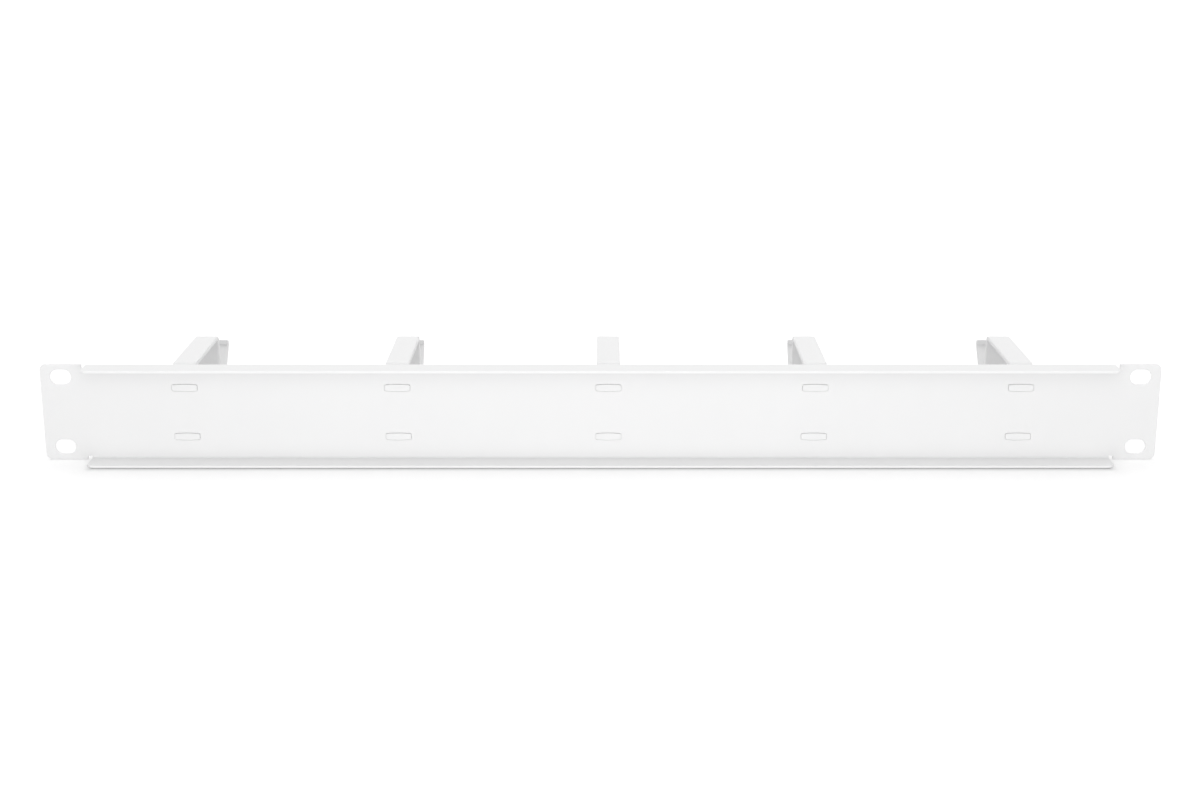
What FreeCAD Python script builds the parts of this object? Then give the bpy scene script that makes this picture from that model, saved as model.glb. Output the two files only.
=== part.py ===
"""Horizontal cable manager for a 19-inch rack: a folded steel panel, one rack unit high, with cable rings.

Each ring is a pair of hooks bent from flat steel strip. The upper hook reaches forward and turns down. The
lower hook reaches forward and leans up and outward past it, so that cables drop in through the mouth between
them. The end of each strip passes through a slot in the panel and is staked there.

Frame, in millimetres: the origin is the centre of the rack slots on the panel's rear face, +X runs along the
panel, +Y points to the rings and +Z is up.
"""

import FreeCAD, Part
import math
import os

# Panel sheet
PANEL_WIDTH = 482.6
PANEL_HEIGHT = 43.6
SHEET = 1.0
SHEET_BEND = 0.8  # inside radius
SHEET_EDGE = 0.25  # softening of the flanges' and ears' edges
EAR_WIDTH = 20.0
EAR_CORNER = 2.8
FLANGE_DEPTH = 10.0  # from the rear face
FLANGE_CORNER = 3.5
RELIEF_WIDTH = 2.0

# Rack slots in the ears
SLOT_INSET = 8.75  # panel's ends to the slots' centres
SLOT_MARGIN = 5.925  # panel's top and bottom to the slots' centres
SLOT_LENGTH = 9.0
SLOT_HEIGHT = 6.6

# Rings
FIRST_RING_INSET = 62.0  # panel's left end to the middle of the first ring
LAST_RING_INSET = 60.1  # panel's right end to the middle of the last
RING_SHIFTS = (0, 1.6, 2.5, 1.5, 0)  # how far each ring stands to the right of even spacing
TENON_HEIGHT = 11.1  # staked ends above and below the panel's middle

# Hook strip
STRIP_WIDTH = 10.0
STRIP = 2.0  # thickness
STRIP_BEND = 0.9  # inside radius
UPPER_REACH = 43.0  # rear face to the outside of the upper finger
UPPER_END = -0.5  # height of the upper finger's lower end
LOWER_REACH = 37.3  # rear face to the outside corner below the lower finger
LOWER_LEAN = 35.0  # degrees from upright
LIP_TOP = 14.5  # height of the lower hook's lip
LIP_BEND = 0.2  # inside radius
LIP_LENGTH = 3.2  # from the corner of the strip's centreline
STRIP_EDGE = 0.3  # softening of the strip's edges

# Staked ends
TENON_SWELL = 0.53  # how far staking spreads the tenon above and below the strip, at its middle
TENON_SIDE_SWELL = 0.4
TENON_CROWN = 0.3  # how much lower the tenon is at its sides than at its middle
TENON_CORNER = 0.5
TENON_PROUD = 0.35  # past the panel's rear face
TENON_GROOVE = 0.25  # clearance between the tenon and its slot

HALF_WIDTH = PANEL_WIDTH / 2
HALF_HEIGHT = PANEL_HEIGHT / 2
FLANGE_END = HALF_WIDTH - EAR_WIDTH
FOOT_Y = SHEET + STRIP / 2  # centreline of the feet, whose backs lie on the panel
ARM_Z = HALF_HEIGHT - STRIP / 2  # centreline of the arms, which lie level with the panel's edges
PAST = 1.0  # how far a cutter runs past the face it cuts
CLOSE = 0.01  # edges this near a place are taken as lying there


def point(y, z):
    return FreeCAD.Vector(0, y, z)


def left_of(direction):
    return point(-direction.z, direction.y)


def face_edges(corners, offset, bends):
    """The edges of one face of a bent strip, from its first end to its last.

    The face lies at the given offset to the left of the centreline, and bends are the centreline's radii.
    """
    edges = []
    start = corners[0] + left_of((corners[1] - corners[0]).normalize()) * offset
    for before, corner, after, bend in zip(corners, corners[1:], corners[2:], bends):
        way_in = (corner - before).normalize()
        way_out = (after - corner).normalize()
        half_turn = way_in.getAngle(way_out) / 2
        run = bend * math.tan(half_turn)
        centre = corner + (way_out - way_in).normalize() * (bend / math.cos(half_turn))
        bend_start = corner - way_in * run + left_of(way_in) * offset
        bend_end = corner + way_out * run + left_of(way_out) * offset
        bend_middle = centre + (corner - centre).normalize() * bend_start.distanceToPoint(centre)
        edges.append(Part.makeLine(start, bend_start))
        edges.append(Part.Arc(bend_start, bend_middle, bend_end).toShape())
        start = bend_end
    end = corners[-1] + left_of((corners[-1] - corners[-2]).normalize()) * offset
    edges.append(Part.makeLine(start, end))
    return edges


def bent_strip(corners, inside_bends, thickness, width):
    """A strip bent at the corners of its centreline and centred on X = 0."""
    bends = [inside + thickness / 2 for inside in inside_bends]
    one_face = face_edges(corners, thickness / 2, bends)
    other_face = face_edges(corners, -thickness / 2, bends)
    first_end = Part.makeLine(one_face[0].Vertexes[0].Point, other_face[0].Vertexes[0].Point)
    last_end = Part.makeLine(one_face[-1].Vertexes[-1].Point, other_face[-1].Vertexes[-1].Point)
    outline = Part.__sortEdges__(one_face + other_face + [first_end, last_end])
    profile = Part.Face(Part.Wire(outline))
    profile.translate(FreeCAD.Vector(-width / 2, 0, 0))
    return profile.extrude(FreeCAD.Vector(width, 0, 0))


def box(x_from, x_to, y_from, y_to, z_from, z_to):
    corner = FreeCAD.Vector(x_from, y_from, z_from)
    return Part.makeBox(x_to - x_from, y_to - y_from, z_to - z_from, corner)


def mirrored(shape, normal):
    return shape.mirror(FreeCAD.Vector(0, 0, 0), normal)


def edges_along_y(shape, x_least):
    """The edges that run straight through the sheet, no nearer the middle than x_least."""
    found = []
    for edge in shape.Edges:
        bounds = edge.BoundBox
        straight = bounds.YLength > CLOSE > bounds.XLength + bounds.ZLength
        if straight and bounds.XMin > x_least - CLOSE:
            found.append(edge)
    return found


def barrel(y, spread):
    """The outline of a staked tenon in the plane at y, made wider and taller by the spread on every side."""
    side = STRIP_WIDTH / 2 + TENON_SIDE_SWELL + spread
    crown_height = STRIP / 2 + TENON_SWELL + spread
    side_height = crown_height - TENON_CROWN
    corners = [
        FreeCAD.Vector(side, y, side_height),
        FreeCAD.Vector(-side, y, side_height),
        FreeCAD.Vector(-side, y, -side_height),
        FreeCAD.Vector(side, y, -side_height),
    ]
    edges = [
        Part.Arc(corners[0], FreeCAD.Vector(0, y, crown_height), corners[1]).toShape(),
        Part.makeLine(corners[1], corners[2]),
        Part.Arc(corners[2], FreeCAD.Vector(0, y, -crown_height), corners[3]).toShape(),
        Part.makeLine(corners[3], corners[0]),
    ]
    return Part.Wire(edges)


def barrel_bar(y_from, y_to, spread):
    """A bar of the staked tenon's outline with rounded corners."""
    bar = Part.Face(barrel(y_from, spread)).extrude(FreeCAD.Vector(0, y_to - y_from, 0))
    return bar.makeFillet(TENON_CORNER + spread, edges_along_y(bar, -math.inf))


def tenon_slot():
    """The cutter for one tenon's slot, with a lead-in at the panel's front that clears the strip's bend."""
    lead_in = STRIP_BEND - TENON_SWELL + TENON_CROWN
    bar = barrel_bar(-PAST, SHEET + PAST, TENON_GROOVE)
    narrow = barrel(SHEET - lead_in, TENON_GROOVE)
    wide = barrel(SHEET, TENON_GROOVE + lead_in)
    return bar.fuse(Part.makeLoft([narrow, wide], True, True))


def rack_slot(x, z):
    """The cutter for one rack slot."""
    end = SLOT_HEIGHT / 2
    straight = SLOT_LENGTH - SLOT_HEIGHT
    cutter = box(x - straight / 2, x + straight / 2, -PAST, SHEET + PAST, z - end, z + end)
    for end_x in (x - straight / 2, x + straight / 2):
        foot = FreeCAD.Vector(end_x, -PAST, z)
        cutter = cutter.fuse(Part.makeCylinder(end, SHEET + 2 * PAST, foot, FreeCAD.Vector(0, 1, 0)))
    return cutter.removeSplitter()


def ear():
    """The right-hand ear, outward from the end of the flanges."""
    plate = box(FLANGE_END, HALF_WIDTH, 0, SHEET, -HALF_HEIGHT, HALF_HEIGHT)
    plate = plate.makeFillet(EAR_CORNER, edges_along_y(plate, HALF_WIDTH))
    bend_start = HALF_HEIGHT - SHEET - SHEET_BEND
    relief_end = FLANGE_END + RELIEF_WIDTH
    top_relief = box(FLANGE_END - PAST, relief_end, -PAST, SHEET + PAST, bend_start, HALF_HEIGHT + PAST)
    upper_slot = rack_slot(HALF_WIDTH - SLOT_INSET, HALF_HEIGHT - SLOT_MARGIN)
    up = FreeCAD.Vector(0, 0, 1)
    return plate.cut([top_relief, mirrored(top_relief, up), upper_slot, mirrored(upper_slot, up)])


def flanged_middle():
    """The panel between its ears, folded back along its top and bottom."""
    middle = SHEET / 2
    edge = HALF_HEIGHT - SHEET / 2
    top = [point(-FLANGE_DEPTH, edge), point(middle, edge)]
    bottom = [point(middle, -edge), point(-FLANGE_DEPTH, -edge)]
    channel = bent_strip(top + bottom, [SHEET_BEND, SHEET_BEND], SHEET, 2 * FLANGE_END)
    flange_corners = []
    for found in channel.Edges:
        bounds = found.BoundBox
        if bounds.YMax < CLOSE - FLANGE_DEPTH and bounds.XLength < CLOSE:
            flange_corners.append(found)
    return channel.makeFillet(FLANGE_CORNER, flange_corners)


def ring_places():
    """The middle of each ring along the panel."""
    first = FIRST_RING_INSET - HALF_WIDTH
    last = HALF_WIDTH - LAST_RING_INSET
    spacing = (last - first) / (len(RING_SHIFTS) - 1)
    return [first + number * spacing + shift for number, shift in enumerate(RING_SHIFTS)]


def rim_edges(shape):
    """The outlines of the flanges and ears on both faces of the sheet, apart from the reliefs' edges."""
    found = []
    for edge in shape.Edges:
        bounds = edge.BoundBox
        furthest_x = max(bounds.XMax, -bounds.XMin)
        on_flange = bounds.ZLength < CLOSE and bounds.YMin < -SHEET_BEND - CLOSE
        on_ear = bounds.YLength < CLOSE and furthest_x > FLANGE_END + RELIEF_WIDTH + CLOSE
        if on_flange or on_ear:
            found.append(edge)
    return found


def panel():
    right_ear = ear()
    shape = flanged_middle().fuse([right_ear, mirrored(right_ear, FreeCAD.Vector(1, 0, 0))]).removeSplitter()
    shape = shape.makeChamfer(SHEET_EDGE, rim_edges(shape))
    cutter = tenon_slot()
    slots = []
    for x in ring_places():
        for z in (-TENON_HEIGHT, TENON_HEIGHT):
            slots.append(cutter.translated(FreeCAD.Vector(x, 0, z)))
    return shape.cut(slots)


def lies_at(edge, ends):
    """Whether the middle of the edge is level with one of the strip's ends."""
    middle = edge.CenterOfMass
    return any(point(middle.y, middle.z).distanceToPoint(end) < CLOSE for end in ends)


def hook(corners, inside_bends):
    """A hook on X = 0: its strip, with softened edges, and its staked tenon about the strip's first end."""
    strip = bent_strip(corners, inside_bends, STRIP, STRIP_WIDTH)
    ends = (corners[0], corners[-1])
    long_edges = [edge for edge in strip.Edges if edge.BoundBox.XLength < CLOSE and not lies_at(edge, ends)]
    strip = strip.makeChamfer(STRIP_EDGE, long_edges)
    tenon = barrel_bar(-TENON_PROUD, SHEET, 0).translated(FreeCAD.Vector(0, 0, corners[0].z))
    return strip.fuse(tenon).removeSplitter()


def upper_hook():
    finger_y = UPPER_REACH - STRIP / 2
    corners = [
        point(-TENON_PROUD, TENON_HEIGHT),
        point(FOOT_Y, TENON_HEIGHT),
        point(FOOT_Y, ARM_Z),
        point(finger_y, ARM_Z),
        point(finger_y, UPPER_END),
    ]
    return hook(corners, [STRIP_BEND, STRIP_BEND, STRIP_BEND])


def lower_hook():
    lean = math.radians(LOWER_LEAN)
    finger_y = LOWER_REACH + STRIP / 2 * (math.tan(lean) - 1 / math.cos(lean))
    lip_z = LIP_TOP - STRIP / 2
    lip_y = finger_y + (lip_z + ARM_Z) * math.tan(lean)
    corners = [
        point(-TENON_PROUD, -TENON_HEIGHT),
        point(FOOT_Y, -TENON_HEIGHT),
        point(FOOT_Y, -ARM_Z),
        point(finger_y, -ARM_Z),
        point(lip_y, lip_z),
        point(lip_y - LIP_LENGTH, lip_z),
    ]
    return hook(corners, [STRIP_BEND, STRIP_BEND, STRIP_BEND, LIP_BEND])


os.makedirs("parts", exist_ok=True)
panel().exportStep("parts/panel.step")
upper = upper_hook()
lower = lower_hook()
for number, place in enumerate(ring_places(), 1):
    along = FreeCAD.Vector(place, 0, 0)
    upper.translated(along).exportStep(f"parts/upper_hook_{number}.step")
    lower.translated(along).exportStep(f"parts/lower_hook_{number}.step")
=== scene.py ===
"""Looks of the horizontal cable manager: white powder coat on the folded panel and its ring hooks.

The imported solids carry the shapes. Here their edges are softened, both finishes are made, and the coat closes the
grooves round the hooks' staked ends. The part stands on a white studio floor.
"""

import bpy
import math
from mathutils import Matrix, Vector


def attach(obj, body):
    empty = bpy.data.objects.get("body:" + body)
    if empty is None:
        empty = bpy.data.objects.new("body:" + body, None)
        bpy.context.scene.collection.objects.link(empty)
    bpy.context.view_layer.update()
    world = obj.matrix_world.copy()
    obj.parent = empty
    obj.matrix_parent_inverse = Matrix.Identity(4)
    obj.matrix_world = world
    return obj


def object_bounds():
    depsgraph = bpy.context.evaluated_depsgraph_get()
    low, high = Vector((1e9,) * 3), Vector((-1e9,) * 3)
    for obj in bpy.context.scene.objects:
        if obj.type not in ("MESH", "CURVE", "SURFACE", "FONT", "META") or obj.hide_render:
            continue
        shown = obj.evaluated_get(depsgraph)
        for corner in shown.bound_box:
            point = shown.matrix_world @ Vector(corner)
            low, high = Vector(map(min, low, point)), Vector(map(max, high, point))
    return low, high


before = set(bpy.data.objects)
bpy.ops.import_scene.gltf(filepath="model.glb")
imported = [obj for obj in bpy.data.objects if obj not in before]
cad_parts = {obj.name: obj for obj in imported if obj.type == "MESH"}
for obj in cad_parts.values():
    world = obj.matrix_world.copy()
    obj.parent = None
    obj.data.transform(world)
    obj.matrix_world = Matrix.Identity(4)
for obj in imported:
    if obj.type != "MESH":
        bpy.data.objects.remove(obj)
cad_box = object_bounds()

MM = 0.001


# Camera

SENSOR_WIDTH = 36  # in millimetres, as the lens is
LENS = 45.86
LENS_SHIFT = -0.15
CAMERA_PLACE = (-0.22 * MM, -626.5 * MM, 227.6 * MM)
LOOKING_DOWN = math.radians(12.8)


def aim_camera():
    data = bpy.data.cameras.new("camera")
    data.sensor_width = SENSOR_WIDTH
    data.lens = LENS
    data.shift_y = LENS_SHIFT
    camera = bpy.data.objects.new("camera", data)
    camera.location = CAMERA_PLACE
    camera.rotation_euler = (math.radians(90) - LOOKING_DOWN, 0, 0)
    bpy.context.scene.collection.objects.link(camera)
    bpy.context.scene.camera = camera


aim_camera()


# Shader maths

class Value:
    """A socket that takes part in ordinary arithmetic."""

    def __init__(self, graph, socket):
        self.graph = graph
        self.socket = socket

    def __add__(self, other):
        return self.graph.maths("ADD", self, other)

    def __radd__(self, other):
        return self.graph.maths("ADD", other, self)

    def __sub__(self, other):
        return self.graph.maths("SUBTRACT", self, other)

    def __rsub__(self, other):
        return self.graph.maths("SUBTRACT", other, self)

    def __mul__(self, other):
        return self.graph.maths("MULTIPLY", self, other)

    def __rmul__(self, other):
        return self.graph.maths("MULTIPLY", other, self)


class Graph:
    """The nodes of a material or world.

    Every node comes from node(), which sets its settings first and then its sockets.
    """

    def __init__(self, owner):
        owner.use_nodes = True
        self.tree = owner.node_tree
        self.tree.nodes.clear()

    def node(self, kind, settings, sockets, output=0):
        made = self.tree.nodes.new(kind)
        for name, setting in settings.items():
            setattr(made, name, setting)
        for name, value in sockets.items():
            socket = self.pick(made.inputs, name)
            if isinstance(value, Value):
                self.tree.links.new(value.socket, socket)
            else:
                socket.default_value = value
        if made.outputs:
            return Value(self, self.pick(made.outputs, output))

    @staticmethod
    def pick(sockets, name):
        """A socket by its number, or by its identifier where several share a name, or by its name."""
        if isinstance(name, int):
            return sockets[name]
        return next((socket for socket in sockets if socket.identifier == name), None) or sockets[name]

    def maths(self, operation, *values):
        return self.node("ShaderNodeMath", {"operation": operation}, dict(enumerate(values)))

    def along(self, place, axes):
        """A place's coordinates along the named axes."""
        return [self.node("ShaderNodeSeparateXYZ", {}, {"Vector": place}, axis) for axis in axes]

    def past(self, value, limit):
        """How far a value is past a limit, and 0 up to it."""
        return self.maths("MAXIMUM", value - limit, 0)

    def distance(self, first, second, third):
        """The distance that three steps at right angles add up to."""
        return self.maths("SQRT", first * first + second * second + third * third)

    def fade(self, away, reach):
        """1 at no distance, and about a third as much for each reach further away."""
        return self.maths("EXPONENT", away * (-1 / reach))


# Powder coat

PEEL_SIZE = 1.6 * MM
GRAIN_SIZE = 0.35 * MM
CLOUD_SIZE = 45 * MM
GRAIN_IN_PEEL = 0.25
PEEL_STRENGTH = 0.12
PEEL_HEIGHT = 0.05 * MM
COAT_WHITES = ((0.915, 0.915, 0.918, 1), (0.935, 0.935, 0.935, 1))
# Painted shade: the grey mixed into the inside corners of the folds.
PAINTED_FOLD_SHADE_GREY = (0.5, 0.5, 0.5, 1)
# Painted highlight: the lighter white on the flanges' free edges.
PAINTED_EDGE_HIGHLIGHT_WHITE = (0.975, 0.975, 0.975, 1)
ROUGHNESS = 0.44
NOISE_MIDDLE = 0.5
CLOUD_IN_GLOSS = 0.08
GRAIN_IN_GLOSS = 0.1
COAT_IOR = 1.5

EAR_WIDTH = 20 * MM
FOLD_END = cad_box[1][0] - EAR_WIDTH
FOLD_HEIGHT = 20.8 * MM  # of the flanges' inner faces, above and below the panel's middle
FOLD_MARGIN = 0.4 * MM  # less than the sheet's thickness, so the flanges' outer faces are left out
HALF_SHEET = 0.5 * MM  # from the rear face, so the panel's front face is left out
# Painted shade in the folds: its share of grey at the corners, and how fast it fades away from them.
PAINTED_FOLD_SHADE = 0.3
PAINTED_FOLD_SHADE_REACH = 3 * MM
# Painted highlight: how far it reaches in from the flanges' free edges.
PAINTED_HIGHLIGHT_DEPTH = 0.35 * MM  # from the flanges' free edges


def powder_coat(name, folded=False):
    """White polyester powder coat: a faint orange peel, a finer grain in it and a slightly uneven gloss.

    On a folded sheet the colour is painted a little greyer inside the folds, as painted shade, and lighter on the
    flanges' free edges, as a painted highlight.
    """
    finish = bpy.data.materials.new(name)
    coat = Graph(finish)
    place = coat.node("ShaderNodeTexCoord", {}, {}, "Object")

    def noise(size, detail):
        return coat.node("ShaderNodeTexNoise", {}, {"Vector": place, "Scale": 1 / size, "Detail": detail}, "Fac")

    def mix(share, first, second):
        shades = {"Factor_Float": share, "A_Color": first, "B_Color": second}
        return coat.node("ShaderNodeMix", {"data_type": "RGBA"}, shades, "Result_Color")

    peel = noise(PEEL_SIZE, detail=2)
    grain = noise(GRAIN_SIZE, detail=1)
    cloud = noise(CLOUD_SIZE, detail=3)
    height = peel + grain * GRAIN_IN_PEEL
    relief = coat.node("ShaderNodeBump", {}, {"Strength": PEEL_STRENGTH, "Distance": PEEL_HEIGHT, "Height": height})
    colour = mix(cloud, *COAT_WHITES)
    # Painted shade inside the folds, then a painted highlight on the flanges' free edges.
    if folded:
        colour = mix(painted_shade_in_folds(coat, place), colour, PAINTED_FOLD_SHADE_GREY)
        colour = mix(painted_highlight_on_edges(coat, place), colour, PAINTED_EDGE_HIGHLIGHT_WHITE)
    gloss = ROUGHNESS + (cloud - NOISE_MIDDLE) * CLOUD_IN_GLOSS + (grain - NOISE_MIDDLE) * GRAIN_IN_GLOSS
    shader = coat.node(
        "ShaderNodeBsdfPrincipled", {}, {"Base Color": colour, "Roughness": gloss, "Normal": relief, "IOR": COAT_IOR}
    )
    coat.node("ShaderNodeOutputMaterial", {}, {"Surface": shader})
    return finish


def painted_shade_in_folds(graph, place):
    """Painted shade: how much grey is mixed in, most in the corners between the panel's rear face and the insides of
    its flanges.
    """
    x, y, z = graph.along(place, "XYZ")
    height = graph.maths("ABSOLUTE", z)
    beside = graph.past(graph.maths("ABSOLUTE", x), FOLD_END)
    away = graph.distance(FOLD_HEIGHT - height, y, beside)
    inner = graph.maths("LESS_THAN", height, FOLD_HEIGHT + FOLD_MARGIN)
    rear = graph.maths("LESS_THAN", y, HALF_SHEET)
    return PAINTED_FOLD_SHADE * (inner * rear) * graph.fade(away, PAINTED_FOLD_SHADE_REACH)


def painted_highlight_on_edges(graph, place):
    """Where the highlight is painted: 1 on the flanges' free edges, and 0 elsewhere."""
    (y,) = graph.along(place, "Y")
    return graph.maths("LESS_THAN", y, cad_box[0][1] + PAINTED_HIGHLIGHT_DEPTH)


finishes = {"panel": powder_coat("panel_powder_coat", folded=True), "hooks": powder_coat("hook_powder_coat")}


# Part

COAT_ROUNDING = 0.095 * MM
ROUNDING_STEPS = 2
HARD_ANGLE = math.radians(30)
FLAT_ANGLE = math.radians(0.5)
JOIN_GAP = 0.001 * MM
FLAT_WEIGHT = 100  # the flats keep their own normals, and the rounded edges turn from one to the next

SEAL_DEPTH = 0.53 * MM  # under the panel's rear face
SEAL_SIZE = (12.6 * MM, 0.16 * MM, 4.9 * MM)
SEAL_CORNER = 0.05 * MM
SEAL_CORNER_STEPS = 2


def dress(item, finish):
    """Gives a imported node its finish, and rounds its hard edges as the coat does."""
    item.data.materials.clear()
    item.data.materials.append(finish)
    weld = item.modifiers.new("joined faces", "WELD")
    weld.merge_threshold = JOIN_GAP
    flats = item.modifiers.new("whole flats", "DECIMATE")
    flats.decimate_type = "DISSOLVE"
    flats.angle_limit = FLAT_ANGLE
    bevel = item.modifiers.new("rounded edges", "BEVEL")
    bevel.width = COAT_ROUNDING
    bevel.segments = ROUNDING_STEPS
    bevel.limit_method = "ANGLE"
    bevel.angle_limit = HARD_ANGLE
    normals = item.modifiers.new("soft edges", "WEIGHTED_NORMAL")
    normals.weight = FLAT_WEIGHT
    normals.keep_sharp = True


def tenon_middle(hook):
    """The middle of a hook's staked end, across and up the panel's rear face."""
    proud = [vertex.co for vertex in hook.data.vertices if vertex.co.y < 0]
    return [(min(co[axis] for co in proud) + max(co[axis] for co in proud)) / 2 for axis in (0, 2)]


def groove_seal(name, x, z, finish):
    """The coat that closes the bottom of the groove round a staked end, inside the panel's sheet."""
    bpy.ops.object.select_all(action="DESELECT")
    bpy.ops.mesh.primitive_cube_add(size=1, location=(x, SEAL_DEPTH, z), scale=SEAL_SIZE)
    seal = bpy.context.object
    bpy.ops.object.transform_apply(location=True, rotation=True, scale=True)
    seal.name = name
    bpy.ops.object.mode_set(mode="EDIT")
    bpy.ops.mesh.select_all(action="SELECT")
    bpy.ops.mesh.bevel(offset=SEAL_CORNER, segments=SEAL_CORNER_STEPS)
    bpy.ops.object.mode_set(mode="OBJECT")
    seal.data.materials.append(finish)
    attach(seal, "root")


for node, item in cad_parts.items():
    if node == "panel":
        dress(item, finishes["panel"])
    else:
        dress(item, finishes["hooks"])
        groove_seal(f"groove_seal_{node}", *tenon_middle(item), finishes["hooks"])


# Studio

WHITE = (1, 1, 1, 1)
WORLD_LIGHT = 0.63
FLOOR_SIZE = 8
FLOOR_GREY = (0.7, 0.7, 0.7, 1)
FLOOR_GLOW = 0.37
FAR_GLOW = 0.6
FAR_REACH = 400 * MM
# Painted shadow: how much the floor's glow drops at the part's foot, and how fast that drop fades.
PAINTED_CONTACT_SHADOW = 0.6
PAINTED_SHADOW_REACH = 1.6 * MM
END_FADE = 3 * MM


def seen_directly(graph):
    """1 where the camera, a reflection or a clear view meets the surface, and 0 for the light that it spreads."""
    camera, glossy, clear = (
        graph.node("ShaderNodeLightPath", {}, {}, f"Is {kind} Ray") for kind in ("Camera", "Glossy", "Transmission")
    )
    return graph.maths("MAXIMUM", camera, graph.maths("MAXIMUM", glossy, clear))


def studio_floor():
    """A white floor: where seen directly it also glows, less close to the part's foot so the part's shadow shows
    there, with a painted shadow along the foot, and up to plain white further off.
    """
    paint = bpy.data.materials.new("studio_floor")
    graph = Graph(paint)
    x, y = graph.along(graph.node("ShaderNodeTexCoord", {}, {}, "Object"), "XY")
    beside = graph.past(graph.maths("ABSOLUTE", x), FOLD_END - END_FADE)
    away = graph.distance(beside, graph.past(cad_box[0][1], y), graph.past(y, 0))
    glow = FLOOR_GLOW + FAR_GLOW * (1 - graph.fade(away, FAR_REACH))
    # Painted shadow along the part's foot.
    glow = glow - PAINTED_CONTACT_SHADOW * graph.fade(away, PAINTED_SHADOW_REACH)
    diffuse = graph.node("ShaderNodeBsdfDiffuse", {}, {"Color": FLOOR_GREY})
    light = graph.node("ShaderNodeEmission", {}, {"Strength": glow})
    lit = graph.node("ShaderNodeAddShader", {}, {0: diffuse, 1: light})
    surface = graph.node("ShaderNodeMixShader", {}, {0: seen_directly(graph), 1: diffuse, 2: lit})
    graph.node("ShaderNodeOutputMaterial", {}, {"Surface": surface})
    bpy.ops.object.select_all(action="DESELECT")
    bpy.ops.mesh.primitive_plane_add(size=FLOOR_SIZE, location=(0, 0, cad_box[0][2]))
    floor = bpy.context.object
    floor.name = "studio_floor"
    floor.data.materials.append(paint)


def studio_world():
    """Soft white light from all round, behind a plain white backdrop."""
    world = bpy.data.worlds.new("studio")
    bpy.context.scene.world = world
    graph = Graph(world)
    light = graph.node("ShaderNodeBackground", {}, {"Color": WHITE, "Strength": WORLD_LIGHT})
    backdrop = graph.node("ShaderNodeBackground", {}, {"Color": WHITE, "Strength": 1})
    surface = graph.node("ShaderNodeMixShader", {}, {0: seen_directly(graph), 1: light, 2: backdrop})
    graph.node("ShaderNodeOutputWorld", {}, {"Surface": surface})


def softbox(name, place, target, width, height, power):
    """A rectangular lamp at one point, turned to another."""
    data = bpy.data.lights.new(name, "AREA")
    data.shape = "RECTANGLE"
    data.size = width
    data.size_y = height
    data.energy = power
    lamp = bpy.data.objects.new(name, data)
    lamp.location = place
    lamp.rotation_euler = (Vector(target) - Vector(place)).to_track_quat("-Z", "Y").to_euler()
    bpy.context.scene.collection.objects.link(lamp)


studio_floor()
studio_world()
softbox("front_softbox", place=(0, -0.8, 0.03), target=(0, 0, 0), width=0.7, height=0.1, power=2.1)
softbox("key_softbox", place=(0, -0.7, 0.6), target=(0, 0, 0), width=0.7, height=0.4, power=0.55)
softbox("top_softbox", place=(0, 0.05, 1.0), target=(0, 0.05, 0), width=2.2, height=0.6, power=2.25)
softbox("back_softbox", place=(0, 0.5, 0.9), target=(0, 0, 0), width=2.2, height=0.6, power=2.5)

bpy.context.scene.view_settings.view_transform = "Standard"
